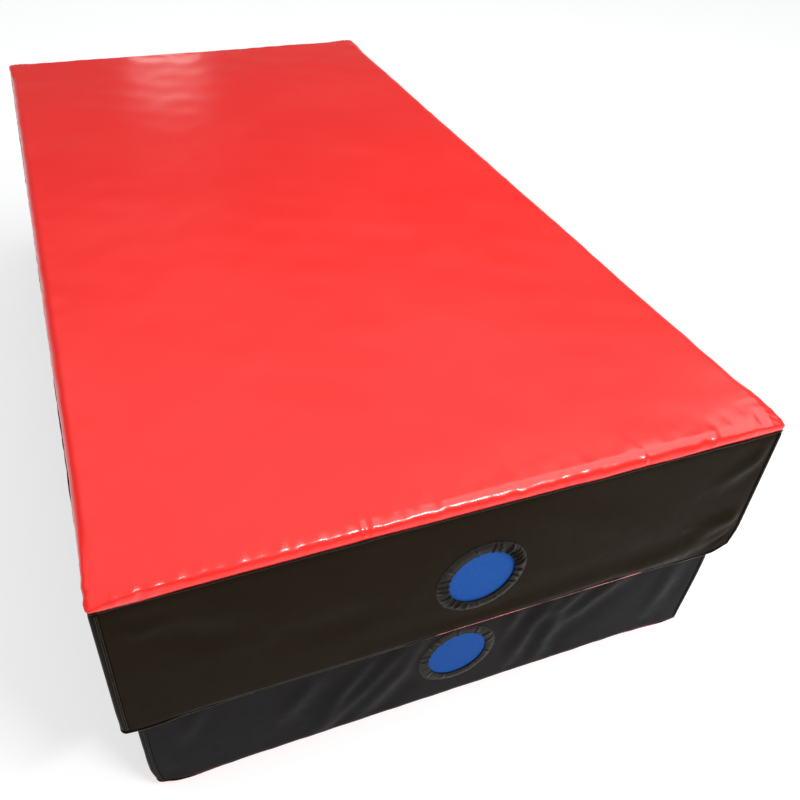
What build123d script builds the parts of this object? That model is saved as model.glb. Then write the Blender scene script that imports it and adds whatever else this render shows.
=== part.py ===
from build123d import *
import os

# Two crash landing mats, one lying on the other. Each is a foam block in a zipped cover.
# Millimetres. The origin is on the floor at the middle of the footprint of the pair. +X is to the
# right along the vent end, +Y runs from the vent end to the zip end, and +Z is up.
# Every piece is first built on its own mat, whose footprint is centred on the origin.

# The mat
MAT_WIDTH = 1050.0
MAT_LENGTH = 2000.0
MAT_HEIGHT = 300.0
EDGE_RADIUS = 12.0
COVER_THICKNESS = 1.0

# How the upper mat lies on the lower one
OVERHANG_FRONT = 66.0
OVERHANG_LEFT = 25.0

# Seams of the cover
TOP_SEAM_Z = 280.0
BOTTOM_SEAM_Z = 8.0
WELT_HEIGHT = 3.0
WELT_PROUD = 1.6
CORNER_SEAM_INSET = 9.0
CORNER_SEAM_WIDTH = 10.0
CORNER_SEAM_PROUD = 0.7

# Round air vent in the front end
VENT_RIGHT_OF_MIDDLE = 18.0
VENT_SIGHT_RADIUS = 54.0
VENT_MESH_RADIUS = 56.0
VENT_RING_RADIUS = 75.0
VENT_RING_PROUD = 4.5

# Zip across the back end
ZIP_Z = MAT_HEIGHT / 2
ZIP_GAP = 30.0
ZIP_HALF_LENGTH = 452.0
ZIP_OPENING_HALF_LENGTH = 480.0
TEETH_INNER = 0.9
TEETH_OUTER = 4.4
TEETH_HALF_THICKNESS = 1.5
STOP_LENGTH = 4.0
STOP_HALF_THICKNESS = 2.6
END_TAB_INNER = 458.0
END_TAB_OUTER = 502.0
END_TAB_HALF_HEIGHT = 26.0
CHANNEL_DEPTH = 4.0
CHANNEL_HALF_HEIGHT = 8.5

# Zip slider, in its own frame: X along the zip, Y outward, Z up, centred on the teeth
SLIDER_HALF_LENGTH = 8.5
SLIDER_HALF_HEIGHT = 7.2
SLIDER_GAP = 0.2
SLIDER_CORNER_RADIUS = 3.0
PLATE_INNER = 1.9
PLATE_OUTER = 3.7
FLANGE_INNER = 0.9
FLANGE_START = 5.0
POST_START = 3.5
POST_HALF_HEIGHT = 0.6
BRIDGE_HALF_LENGTH = 5.5
BRIDGE_WINDOW_HALF_LENGTH = 3.5
BRIDGE_WINDOW_OUTER = 6.9
BRIDGE_OUTER = 8.4
BRIDGE_HALF_HEIGHT = 1.3

# Pull tab, in the slider's frame
PULL_AXIS_Y = (PLATE_OUTER + BRIDGE_WINDOW_OUTER) / 2
PULL_BAR_RADIUS = 0.9
PULL_HALF_THICKNESS = 0.8
PULL_HALF_HEIGHT = 3.9
PULL_WINDOW_HALF_HEIGHT = 1.9
PULL_WINDOW_END = 8.0
PULL_LENGTH = 34.0
PULL_HOLE_RADIUS = 1.8
PULL_HOLE_X = 29.0

SIDE_PLANE_X = MAT_WIDTH / 2
END_PLANE_Y = MAT_LENGTH / 2
ZIP_PLANE_Y = END_PLANE_Y - COVER_THICKNESS / 2
CORNER_SEAM_X = SIDE_PLANE_X - CORNER_SEAM_INSET
FAR = 2 * MAT_LENGTH

# The vent ring stands out at the front and the zip's bridge at the back, so the footprint's middle
# is a little behind the middle of the two mats.
FRONT_REACH = VENT_RING_PROUD
BACK_REACH = BRIDGE_OUTER - COVER_THICKNESS / 2
FOOTPRINT_SHIFT_Y = (FRONT_REACH - BACK_REACH) / 2

# name, mat centre X, mat centre Y, underside Z, height of the vent's centre above the underside
MATS = (
    ("lower", OVERHANG_LEFT / 2, OVERHANG_FRONT / 2 + FOOTPRINT_SHIFT_Y, 0.0, 130.0),
    ("upper", -OVERHANG_LEFT / 2, -OVERHANG_FRONT / 2 + FOOTPRINT_SHIFT_Y, MAT_HEIGHT, 131.5),
)


def block_between(x_span, y_span, z_span):
    """A plain block from its low and high value along each axis."""
    spans = (x_span, y_span, z_span)
    size = [high - low for low, high in spans]
    middle = [(high + low) / 2 for low, high in spans]
    return Pos(*middle) * Box(*size)


def rounded_mat(growth):
    """The outer form of a mat, with every face moved outward by growth."""
    whole = block_between(
        (-SIDE_PLANE_X - growth, SIDE_PLANE_X + growth),
        (-END_PLANE_Y - growth, END_PLANE_Y + growth),
        (-growth, MAT_HEIGHT + growth),
    )
    return fillet(whole.edges(), EDGE_RADIUS + growth)


def skin(inner_growth, outer_growth, x_span=(-FAR, FAR), y_span=(-FAR, FAR), z_span=(-FAR, FAR)):
    """The part of the closed skin between two growths that lies in the given spans."""
    closed_skin = rounded_mat(outer_growth) - rounded_mat(inner_growth)
    return closed_skin & block_between(x_span, y_span, z_span)


def cover(x_span=(-FAR, FAR), y_span=(-FAR, FAR), z_span=(-FAR, FAR)):
    """A part of the cover's own layer of cloth."""
    return skin(-COVER_THICKNESS, 0.0, x_span, y_span, z_span)


def foam_core():
    """The foam block, with the shallow channel that the zip slider's back plate presses into it."""
    channel_half_length = ZIP_HALF_LENGTH + STOP_LENGTH
    foam_end_y = END_PLANE_Y - COVER_THICKNESS
    channel = block_between(
        (-channel_half_length, channel_half_length),
        (foam_end_y - CHANNEL_DEPTH, END_PLANE_Y),
        (ZIP_Z - CHANNEL_HALF_HEIGHT, ZIP_Z + CHANNEL_HALF_HEIGHT),
    )
    return rounded_mat(-COVER_THICKNESS) - channel


def top_sheet():
    """The sheet on top, which rolls over the edges down to the top seam."""
    return cover(z_span=(TOP_SEAM_Z, FAR))


def bottom_sheet():
    """The sheet underneath, which turns up round the edges to the bottom seam."""
    return cover(z_span=(-FAR, BOTTOM_SEAM_Z))


def side_panel(side):
    """A long side wall that wraps both of its corners. side is -1 for the left and 1 for the right."""
    x_span = sorted((side * CORNER_SEAM_X, side * FAR))
    return cover(x_span, z_span=(BOTTOM_SEAM_Z, TOP_SEAM_Z))


def end_wall(end, z_span):
    """The cover between two corner seams. end is -1 for the front and 1 for the back."""
    y_span = sorted((0.0, end * FAR))
    return cover((-CORNER_SEAM_X, CORNER_SEAM_X), y_span, z_span)


def front_panel(vent_z):
    """The front wall, with the round hole for the vent."""
    hole = Pos(VENT_RIGHT_OF_MIDDLE, -END_PLANE_Y, vent_z) * Rot(90, 0, 0)
    hole *= Cylinder(VENT_MESH_RADIUS, 4 * COVER_THICKNESS)
    return end_wall(-1, (BOTTOM_SEAM_Z, TOP_SEAM_Z)) - hole


def vent_mesh(vent_z):
    """The disc of air mesh that fills the hole."""
    middle_y = -END_PLANE_Y + COVER_THICKNESS / 2
    disc = Cylinder(VENT_MESH_RADIUS, COVER_THICKNESS)
    return Pos(VENT_RIGHT_OF_MIDDLE, middle_y, vent_z) * Rot(90, 0, 0) * disc


def vent_ring(vent_z):
    """The raised ring of gathered cloth sewn round the mesh, a shallow arc in section."""
    inner = (VENT_SIGHT_RADIUS, 0.0)
    outer = (VENT_RING_RADIUS, 0.0)
    crown = ((VENT_SIGHT_RADIUS + VENT_RING_RADIUS) / 2, VENT_RING_PROUD)
    section = make_face(Line(inner, outer) + ThreePointArc(outer, crown, inner))
    ring = revolve(section, Axis.Y)
    return Pos(VENT_RIGHT_OF_MIDDLE, -END_PLANE_Y, vent_z) * Rot(0, 0, 180) * ring


def welt(low_z):
    """A bound seam that stands proud all round the mat."""
    return skin(0.0, WELT_PROUD, z_span=(low_z, low_z + WELT_HEIGHT))


def corner_seams():
    """The four upright strips where the end walls are sewn to the side walls."""
    z_span = (BOTTOM_SEAM_Z + WELT_HEIGHT, TOP_SEAM_Z - WELT_HEIGHT)
    strips = []
    for side in (-1, 1):
        for end in (-1, 1):
            edges = [side * (CORNER_SEAM_X + half * CORNER_SEAM_WIDTH / 2) for half in (-1, 1)]
            y_span = sorted((0.0, end * FAR))
            strips += skin(0.0, CORNER_SEAM_PROUD, sorted(edges), y_span, z_span).solids()
    return Compound(strips)


def zip_tape(half):
    """A woven tape beside the teeth. half is -1 below them and 1 above. The tapes meet at the ends."""
    strip = end_wall(1, sorted((ZIP_Z, ZIP_Z + half * ZIP_GAP / 2)))
    notch = block_between(
        (-ZIP_OPENING_HALF_LENGTH, ZIP_OPENING_HALF_LENGTH),
        (0.0, FAR),
        (ZIP_Z - TEETH_OUTER, ZIP_Z + TEETH_OUTER),
    )
    return strip - notch


def zip_teeth(half):
    """One row of teeth on the edge of its tape."""
    return block_between(
        (-ZIP_HALF_LENGTH, ZIP_HALF_LENGTH),
        (ZIP_PLANE_Y - TEETH_HALF_THICKNESS, ZIP_PLANE_Y + TEETH_HALF_THICKNESS),
        sorted((ZIP_Z + half * TEETH_INNER, ZIP_Z + half * TEETH_OUTER)),
    )


def zip_stops():
    """The two blocks that end the slider's travel."""
    stops = []
    for side in (-1, 1):
        x_span = sorted((side * ZIP_HALF_LENGTH, side * (ZIP_HALF_LENGTH + STOP_LENGTH)))
        y_span = (ZIP_PLANE_Y - STOP_HALF_THICKNESS, ZIP_PLANE_Y + STOP_HALF_THICKNESS)
        z_span = (ZIP_Z - TEETH_OUTER, ZIP_Z + TEETH_OUTER)
        stops.append(block_between(x_span, y_span, z_span))
    return Compound(stops)


def zip_end_tabs():
    """The two tabs of cover cloth sewn over the ends of the zip."""
    tabs = []
    for side in (-1, 1):
        x_span = sorted((side * END_TAB_INNER, side * END_TAB_OUTER))
        y_span = (END_PLANE_Y, END_PLANE_Y + COVER_THICKNESS)
        z_span = (ZIP_Z - END_TAB_HALF_HEIGHT, ZIP_Z + END_TAB_HALF_HEIGHT)
        tabs.append(block_between(x_span, y_span, z_span))
    return Compound(tabs)


def closed_slider_place():
    """The slider's frame with the zip closed, just clear of the stop on the right."""
    return Pos(ZIP_HALF_LENGTH - SLIDER_HALF_LENGTH - SLIDER_GAP, ZIP_PLANE_Y, ZIP_Z)


def zip_slider():
    """Two plates with inturned flanges, joined by the post that parts the teeth, and a bridge."""
    along = (-SLIDER_HALF_LENGTH, SLIDER_HALF_LENGTH)
    across = (-SLIDER_HALF_HEIGHT, SLIDER_HALF_HEIGHT)
    body = block_between(along, (-PLATE_OUTER, PLATE_OUTER), across)
    body = fillet(body.edges().filter_by(Axis.Y), SLIDER_CORNER_RADIUS)
    body -= block_between(along, (-PLATE_INNER, PLATE_INNER), (-FLANGE_START, FLANGE_START))
    body -= block_between(along, (-FLANGE_INNER, FLANGE_INNER), across)
    body += block_between(
        (POST_START, SLIDER_HALF_LENGTH),
        (-PLATE_INNER, PLATE_INNER),
        (-POST_HALF_HEIGHT, POST_HALF_HEIGHT),
    )
    bridge_across = (-BRIDGE_HALF_HEIGHT, BRIDGE_HALF_HEIGHT)
    body += block_between(
        (-BRIDGE_HALF_LENGTH, BRIDGE_HALF_LENGTH), (PLATE_OUTER, BRIDGE_OUTER), bridge_across
    )
    body -= block_between(
        (-BRIDGE_WINDOW_HALF_LENGTH, BRIDGE_WINDOW_HALF_LENGTH),
        (PLATE_OUTER, BRIDGE_WINDOW_OUTER),
        bridge_across,
    )
    return closed_slider_place() * body


def zip_pull():
    """A flat tab on a round bar that turns under the slider's bridge."""
    bar = Pos(0, PULL_AXIS_Y, 0) * Cylinder(PULL_BAR_RADIUS, 2 * PULL_HALF_HEIGHT)
    thickness = (PULL_AXIS_Y - PULL_HALF_THICKNESS, PULL_AXIS_Y + PULL_HALF_THICKNESS)
    tab = block_between((0.0, PULL_LENGTH), thickness, (-PULL_HALF_HEIGHT, PULL_HALF_HEIGHT))
    far_corners = tab.edges().filter_by(Axis.Y).group_by(Axis.X)[-1]
    tab = fillet(far_corners, PULL_HALF_HEIGHT * 0.8)
    tab -= block_between(
        (0.0, PULL_WINDOW_END), thickness, (-PULL_WINDOW_HALF_HEIGHT, PULL_WINDOW_HALF_HEIGHT)
    )
    hole = Pos(PULL_HOLE_X, PULL_AXIS_Y, 0) * Rot(90, 0, 0)
    hole *= Cylinder(PULL_HOLE_RADIUS, 4 * PULL_HALF_THICKNESS)
    return closed_slider_place() * (bar + tab - hole)


def mat_pieces(vent_z):
    """Every piece of one mat by name, on its own centred footprint."""
    half_gap = ZIP_GAP / 2
    return {
        "foam_core": foam_core(),
        "top_sheet": top_sheet(),
        "bottom_sheet": bottom_sheet(),
        "front_panel": front_panel(vent_z),
        "left_panel": side_panel(-1),
        "right_panel": side_panel(1),
        "back_panel_low": end_wall(1, (BOTTOM_SEAM_Z, ZIP_Z - half_gap)),
        "back_panel_high": end_wall(1, (ZIP_Z + half_gap, TOP_SEAM_Z)),
        "vent_mesh": vent_mesh(vent_z),
        "vent_ring": vent_ring(vent_z),
        "top_welt": welt(TOP_SEAM_Z - WELT_HEIGHT),
        "bottom_welt": welt(BOTTOM_SEAM_Z),
        "corner_seams": corner_seams(),
        "zip_tape_low": zip_tape(-1),
        "zip_tape_high": zip_tape(1),
        "zip_teeth_low": zip_teeth(-1),
        "zip_teeth_high": zip_teeth(1),
        "zip_stops": zip_stops(),
        "zip_end_tabs": zip_end_tabs(),
        "zip_slider": zip_slider(),
        "zip_pull": zip_pull(),
    }


os.makedirs("parts", exist_ok=True)
for mat, centre_x, centre_y, underside_z, vent_height in MATS:
    for name, piece in mat_pieces(vent_height).items():
        export_step(Pos(centre_x, centre_y, underside_z) * piece, f"parts/{mat}_{name}.step")
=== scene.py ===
import itertools
import math

import bpy
import numpy as np
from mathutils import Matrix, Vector


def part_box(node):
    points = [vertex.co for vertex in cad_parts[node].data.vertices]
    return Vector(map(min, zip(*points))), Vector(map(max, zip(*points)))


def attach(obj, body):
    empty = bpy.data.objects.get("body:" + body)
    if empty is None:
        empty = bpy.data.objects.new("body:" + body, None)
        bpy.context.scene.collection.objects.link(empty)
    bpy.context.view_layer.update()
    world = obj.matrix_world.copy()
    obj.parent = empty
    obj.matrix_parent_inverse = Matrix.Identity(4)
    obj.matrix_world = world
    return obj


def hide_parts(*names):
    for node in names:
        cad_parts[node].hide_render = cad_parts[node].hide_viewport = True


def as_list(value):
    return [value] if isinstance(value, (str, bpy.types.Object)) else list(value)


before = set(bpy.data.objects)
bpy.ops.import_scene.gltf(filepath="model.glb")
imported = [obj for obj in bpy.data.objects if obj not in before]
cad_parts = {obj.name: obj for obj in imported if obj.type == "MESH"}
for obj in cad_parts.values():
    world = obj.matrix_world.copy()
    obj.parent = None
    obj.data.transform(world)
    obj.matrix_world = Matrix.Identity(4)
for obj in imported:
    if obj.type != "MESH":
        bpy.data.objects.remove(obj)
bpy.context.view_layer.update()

# Two crash landing mats, one lying on the other. Metres, in the row frame: +X to the right along the
# vent end, +Y towards the zip end, +Z up.
# Every piece is first made on its own mat: x and y from the mat's middle, z above its underside.

# The mat's outer form. The cover is tight at the corners, and rolls softly over the edges between them.
COVER_THICKNESS = 0.001
CORNER_RADIUS = 0.007
TOP_EDGE_RADIUS = 0.020
BOTTOM_EDGE_RADIUS = 0.018
CORNER_REACH = 0.14
CLOTH_THICKNESS = 0.0012

# Vent: the hole in the front panel and the mesh disc behind it
VENT_HOLE_RADIUS = 0.060
DISC_RADIUS = 0.0575

# Seams
WELT_PROUD = 0.0016
CORNER_SEAM_HALF_WIDTH = 0.0024
CORNER_SEAM_PROUD = 0.0009
SEAM_GROOVE = 0.0018

# How the cover gives. At the top corners the red sheet is drawn down to a point. At some bottom corners
# it is loose, and lifts: (right or left, back or front, lift, reach). The lower mat bulges under the upper.
FRONT_DROOPS, BACK_DROOP = (0.0145, 0.0095), 0.0030
CORNER_DROOP_REACH = 0.030
CORNER_LIFTS = {
    "upper": [(1, -1, 0.020, 0.036), (-1, -1, 0.004, 0.020), (1, 1, 0.006, 0.030), (-1, 1, 0.005, 0.030)],
    "lower": [(-1, -1, 0.017, 0.042), (1, -1, 0.002, 0.020), (1, 1, 0.008, 0.030), (-1, 1, 0.006, 0.030)],
}
BULGE = {"upper": (0.0, 0.0), "lower": (0.009, 0.018)}

# Zip, as heights on the mat and places along the back end
ZIP_GAP_LOW = 0.135
ZIP_GAP_HIGH = 0.165
ZIP_MIDDLE = 0.150
ZIP_HALF_LENGTH = 0.452
TOOTH_PITCH = 0.003


def smooth_step(share):
    """0 to 1 with a level start and end."""
    share = np.clip(share, 0, 1)
    return share * share * (3 - 2 * share)


class Mat:
    """Where one mat is, read from its foam block."""

    def __init__(self, name):
        self.name = name
        low, high = self.node_box("foam_core")
        self.half_width = (high[0] - low[0]) / 2 + COVER_THICKNESS
        self.half_length = (high[1] - low[1]) / 2 + COVER_THICKNESS
        self.height = high[2] - low[2] + 2 * COVER_THICKNESS
        self.place = np.array([(low[0] + high[0]) / 2, (low[1] + high[1]) / 2, low[2] - COVER_THICKNESS])
        self.low = np.array([-self.half_width, -self.half_length, 0.0])
        self.high = np.array([self.half_width, self.half_length, self.height])
        ring_low, ring_high = self.node_box("vent_ring")
        self.vent = (ring_low + ring_high) / 2 - self.place
        self.vent_radius = (ring_high[0] - ring_low[0]) / 2
        welt_low, welt_high = self.node_box("top_welt")
        self.welt_height = welt_high[2] - welt_low[2]
        self.top_seam = welt_high[2] - self.place[2]
        panel_low, panel_high = self.node_box("front_panel")
        self.corner_seam_x = (panel_high[0] - panel_low[0]) / 2

    def node_box(self, node):
        """The lowest and highest corners of one of the mat's CAD nodes."""
        return [np.array(corner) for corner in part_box(f"{self.name}_{node}")]

    def from_corner(self, points):
        """How far points near the edges are from the nearest upright corner."""
        from_sides = np.abs(self.half_width - np.abs(points[..., 0]))
        return from_sides + np.abs(self.half_length - np.abs(points[..., 1]))

    def outward(self, points, radius=CORNER_RADIUS):
        """The mat's outward normal at points on or near its surface."""
        away = points - np.clip(points, self.low + radius, self.high - radius)
        return away / np.maximum(np.linalg.norm(away, axis=-1, keepdims=True), 1e-9)

    def rolled(self, sharp, radius, growth):
        """Points of the sharp-edged box, moved onto the box with all its edges rounded."""
        inner = np.clip(sharp, self.low + radius, self.high - radius)
        return inner + (radius + growth) * self.outward(sharp, radius)

    def rounded(self, sharp, growth=0.0):
        """Points of the sharp-edged box, moved onto the mat's own face."""
        share = smooth_step((self.from_corner(sharp) - 0.012) / CORNER_REACH)[..., None]
        tight = self.rolled(sharp, CORNER_RADIUS, growth)
        above = self.rolled(sharp, TOP_EDGE_RADIUS, growth)
        below = self.rolled(sharp, BOTTOM_EDGE_RADIUS, growth)
        soft = np.where(sharp[..., 2:] > self.height / 2, above, below)
        return tight + (soft - tight) * share

    def seam_height(self, points):
        """How high the top seam runs, with a little wander."""
        seed = {"upper": 1, "lower": 2}[self.name]
        return self.top_seam + 0.0006 * ripple(points[..., 0], points[..., 1], 0.16, seed)

    def settled_form(self, points):
        """Where points go as the cover gives at its corners and the mat bulges at its sides."""
        x, y, z = points.T
        above = np.clip((z - self.top_seam) / (self.height - self.top_seam), 0, 1)
        droop = np.where(y < 0, np.where(x < 0, *FRONT_DROOPS), BACK_DROOP)
        droop = droop * np.exp(-((self.from_corner(points) / CORNER_DROOP_REACH) ** 1.2))
        below = np.clip(1 - z / 0.09, 0, 1)
        lift, inward = np.zeros(len(points)), np.zeros(len(points))
        for side, end, amount, reach in CORNER_LIFTS[self.name]:
            away = np.abs(side * self.half_width - x) + np.abs(end * self.half_length - y)
            near = amount * np.exp(-((away / reach) ** 1.5))
            lift += near
            inward -= 0.55 * side * near * np.clip(1 - z / 0.06, 0, 1) ** 1.5
        left, right = BULGE[self.name]
        share = np.clip(np.abs(x) / self.half_width, 0, 1) ** 5
        profile = 0.4 + 0.6 * np.sin(math.pi * np.clip(z / self.height, 0, 1) ** 1.4)
        out = share * profile * np.where(x < 0, -left, right)
        return np.column_stack([x + out + inward, y, z + lift * below - droop * above])


# ---- Mesh tools ----------------------------------------------------------------------------------

SIDES = {
    "front": (1, 0, 0, 2),
    "back": (1, -1, 2, 0),
    "right": (0, -1, 1, 2),
    "left": (0, 0, 2, 1),
    "top": (2, -1, 0, 1),
    "bottom": (2, 0, 1, 0),
}
WALLS = ("front", "right", "back", "left")
CORNERS = list(itertools.product((-1, 1), repeat=2))


def box_skin(lattice, sides):
    """Welded outward quads on the named sides of the box spanned by the x, y and z lattices."""
    counts = [len(values) for values in lattice]
    quads = []
    for side in sides:
        fixed, end, first, second = SIDES[side]
        index = [None, None, None]
        index[first], index[second] = np.meshgrid(
            np.arange(counts[first]), np.arange(counts[second]), indexing="ij"
        )
        index[fixed] = np.full_like(index[first], end % counts[fixed])
        key = np.ravel_multi_index(index, counts)
        corners = (key[:-1, :-1], key[1:, :-1], key[1:, 1:], key[:-1, 1:])
        quads.append(np.stack(corners, axis=-1).reshape(-1, 4))
    used, faces = np.unique(np.concatenate(quads), return_inverse=True)
    places = np.unravel_index(used, counts)
    points = np.stack([np.asarray(lattice[axis])[places[axis]] for axis in range(3)], axis=1)
    return points, faces.reshape(-1, 4)


def grid_faces(rows, columns, wrap_rows=False, wrap_columns=False):
    """Quads over points in rows and columns."""
    index = np.arange(rows * columns).reshape(rows, columns)
    if wrap_rows:
        index = np.vstack([index, index[:1]])
    if wrap_columns:
        index = np.hstack([index, index[:, :1]])
    corners = (index[:-1, :-1], index[:-1, 1:], index[1:, 1:], index[1:, :-1])
    return np.stack(corners, axis=-1).reshape(-1, 4)


def spaced(start, end, step):
    """Even steps from start to end, as near as they can be to the given step."""
    return np.linspace(start, end, max(1, round(abs(end - start) / step)) + 1)


def joined(*runs):
    """Runs of a lattice end to end, without the points that they share."""
    values = np.concatenate(runs)
    return values[np.concatenate([[True], np.diff(values) > 1e-7])]


def edge_zone(radius, count):
    """Distances across half a rounded edge, on the sharp box, that come out evenly round the edge."""
    return radius * np.tan(np.linspace(0, math.pi / 4, count))


def edged(low, high, step, radius, count):
    """A lattice from low to high that is finer where the edges at both ends are rounded."""
    zone = edge_zone(radius, count)
    return joined(low + radius - zone[::-1], spaced(low + radius, high - radius, step), high - radius + zone)


def thinned(values, least):
    """Rising values without those that come closer than least to the one before. Both ends stay."""
    kept = [values[0]]
    for value in values[1:-1]:
        if value - kept[-1] >= least and values[-1] - value >= least:
            kept.append(value)
    return np.array([*kept, values[-1]])


def around(count):
    """Angles at even steps once round."""
    return np.linspace(0, 2 * math.pi, count, endpoint=False)


def compact(points, faces):
    """The points that faces use, and the faces renumbered."""
    used, renumbered = np.unique(faces, return_inverse=True)
    return points[used], renumbered.reshape(faces.shape)


def points_at(x, y, z):
    """Points from their coordinates, where a single number serves all of them."""
    return np.stack(np.broadcast_arrays(x, y, z), axis=-1)


def repeated(faces, count, size):
    """The faces of a mesh of size points, for count copies of it one after another."""
    return (faces[None] + np.arange(count)[:, None, None] * size).reshape(-1, 4)


def merged(parts):
    """One mesh from several, each as points and faces."""
    starts = np.cumsum([0] + [len(points) for points, _ in parts])
    faces = [faces + start for (_, faces), start in zip(parts, starts)]
    return np.concatenate([points for points, _ in parts]), np.concatenate(faces)


def in_scene(name, data):
    """A new object in the scene."""
    thing = bpy.data.objects.new(name, data)
    bpy.context.scene.collection.objects.link(thing)
    return thing


def new_mesh(name, points, faces):
    mesh = bpy.data.meshes.new(name)
    mesh.from_pydata(points.tolist(), [], faces.tolist())
    return mesh


def make_object(name, points, faces, material, mat):
    """A smooth mesh object, moved from its own mat's place to the row frame."""
    mesh = new_mesh(name, points + mat.place, faces)
    mesh.polygons.foreach_set("use_smooth", np.ones(len(mesh.polygons), bool))
    mesh.materials.append(material)
    mesh.update()
    return in_scene(name, mesh)


def mesh_points(mesh):
    """A mesh's vertices as an array."""
    values = np.empty(len(mesh.vertices) * 3, np.float32)
    mesh.vertices.foreach_get("co", values)
    return values.reshape(-1, 3).astype(float)


def mesh_quads(mesh):
    """The faces of a mesh that has only quads, as an array."""
    values = np.empty(len(mesh.loops), np.int32)
    mesh.loops.foreach_get("vertex_index", values)
    return values.reshape(-1, 4)


def evaluated(piece):
    """A copy of the piece's mesh with its modifiers applied."""
    graph = bpy.context.evaluated_depsgraph_get()
    return bpy.data.meshes.new_from_object(piece.evaluated_get(graph))


def subdivided(points, faces, labels):
    """One Catmull-Clark subdivision. Each face keeps its label."""
    mesh = new_mesh("subdivided", points, faces)
    mesh.polygons.foreach_set("material_index", labels)
    coarse = in_scene("subdivided", mesh)
    coarse.modifiers.new("Subdivision", "SUBSURF").levels = 1
    fine = evaluated(coarse)
    fine_labels = np.empty(len(fine.polygons), np.int32)
    fine.polygons.foreach_get("material_index", fine_labels)
    result = mesh_points(fine), mesh_quads(fine), fine_labels
    bpy.data.objects.remove(coarse)
    bpy.data.meshes.remove(fine)
    return result


def thicken(piece):
    """Gives an open sheet its thickness, inward, so that it is a closed layer."""
    solidify = piece.modifiers.new("Cloth thickness", "SOLIDIFY")
    solidify.thickness = CLOTH_THICKNESS
    solidify.offset = -1.0
    solidify.use_quality_normals = True
    mesh = evaluated(piece)
    piece.modifiers.clear()
    piece.data = mesh


# ---- Relief: what the cloth does on the foam -----------------------------------------------------


RIPPLE_WAVES = 12


def ripple(first, second, wavelength, seed):
    """A smooth uneven surface between about -1 and 1."""
    source = np.random.default_rng(seed)
    total = np.zeros(np.broadcast(first, second).shape)
    for _ in range(RIPPLE_WAVES):
        heading = source.uniform(0, 2 * math.pi)
        number = 2 * math.pi / (wavelength * source.uniform(0.65, 1.5))
        phase = source.uniform(0, 2 * math.pi)
        total += np.sin(number * (first * math.cos(heading) + second * math.sin(heading)) + phase)
    return total * math.sqrt(2.0 / RIPPLE_WAVES) * 0.6


def bump(distance, width):
    """A soft ridge of height 1."""
    return np.exp(-((distance / width) ** 2))


def fold_height(first, second, fold):
    """A fold in the cloth along a bent line. It fades out at both ends and has a shallow trough beside it."""
    width, height, *line = fold
    line = np.array(line) / 1000.0
    total = np.zeros(first.shape)
    lengths = np.linalg.norm(np.diff(line, axis=0), axis=1)
    done = np.concatenate([[0.0], np.cumsum(lengths)])
    nearest = np.full(first.shape, 1e9)
    for start, end, before, length in zip(line[:-1], line[1:], done, lengths):
        along = ((first - start[0]) * (end - start)[0] + (second - start[1]) * (end - start)[1]) / length
        kept = np.clip(along, 0, length)
        away_first = first - start[0] - (end - start)[0] * kept / length
        away_second = second - start[1] - (end - start)[1] * kept / length
        away = np.hypot(away_first, away_second)
        side = np.sign((end - start)[0] * away_second - (end - start)[1] * away_first)
        share = (before + kept) / done[-1]
        fade = np.sin(math.pi * np.clip(0.08 + 0.84 * share, 0, 1)) ** 0.8
        value = bump(away, width) - 0.45 * bump(away * side - 1.9 * width, 1.2 * width)
        closer = away < nearest
        total = np.where(closer, value * fade, total)
        nearest = np.minimum(nearest, away)
    return total * height


# Each fold: width, height, then points as (right of the mat's middle, above its underside) in mm
UPPER_FRONT_FOLDS = [
    (0.017, 0.0042, (526, 284), (496, 232), (436, 196)),
    (0.018, 0.0046, (536, 168), (512, 98), (440, 92)),
    (0.012, 0.0034, (512, 74), (490, 56), (452, 40)),
    (0.008, 0.0024, (510, 38), (482, 22)),
    (0.026, 0.0040, (512, 104), (410, 46), (320, 36)),
    (0.026, -0.0026, (-440, 204), (-396, 174), (-340, 160)),
    (0.020, 0.0022, (-160, 10), (58, 14), (240, 34), (440, 30)),
    (0.030, 0.0022, (80, 255), (330, 112)),
    (0.028, -0.0018, (-270, 119), (-150, 119)),
    (0.012, 0.0016, (-500, 236), (-470, 222), (-430, 226)),
]
LOWER_FRONT_FOLDS = [
    (0.020, 0.0062, (344, 215), (287, 173), (232, 118)),
    (0.020, 0.0068, (272, 228), (214, 165), (192, 36)),
    (0.018, 0.0058, (210, 216), (161, 148), (134, 50)),
    (0.016, 0.0048, (134, 238), (115, 150)),
    (0.022, 0.0068, (-48, 230), (-93, 133), (-172, 32)),
    (0.016, 0.0054, (-84, 214), (-136, 141), (-224, 30)),
    (0.016, 0.0048, (-150, 192), (-202, 119), (-240, 26)),
    (0.018, 0.0042, (-252, 184), (-296, 104)),
    (0.020, 0.0036, (458, 204), (437, 70)),
    (0.012, 0.0026, (-507, 186), (-498, 62)),
    (0.014, 0.0024, (-440, 200), (-462, 132)),
]

# Puckers of the upper mat's top front edge: mm right of the middle, width and height in mm, reach in mm
FRONT_PUCKERS = [
    (-494, 6.0, 1.2, 30),
    (-470, 6.0, 1.3, 34),
    (-291, 7.0, 0.6, 22),
    (-264, 6.0, 0.6, 24),
    (-173, 4.5, 2.8, 36),
    (-105, 8.0, 0.8, 28),
    (-33, 7.0, 0.8, 26),
    (4, 6.0, 0.8, 30),
    (65, 8.0, 0.7, 24),
    (175, 8.0, 0.6, 30),
    (266, 4.5, 2.8, 34),
    (387, 7.0, 1.0, 34),
    (462, 6.0, 0.7, 28),
]


def scattered_puckers(seed, reach):
    """Small puckers along an edge that the photo doesn't show, in the same form as FRONT_PUCKERS."""
    source = np.random.default_rng(seed)
    places = np.arange(-reach, reach, 70.0)
    places = places + source.uniform(-25, 25, len(places))
    draws = ((5, 8), (0.2, 0.7), (20, 36))
    return [(place, *(source.uniform(*draw) for draw in draws)) for place in places]


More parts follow.
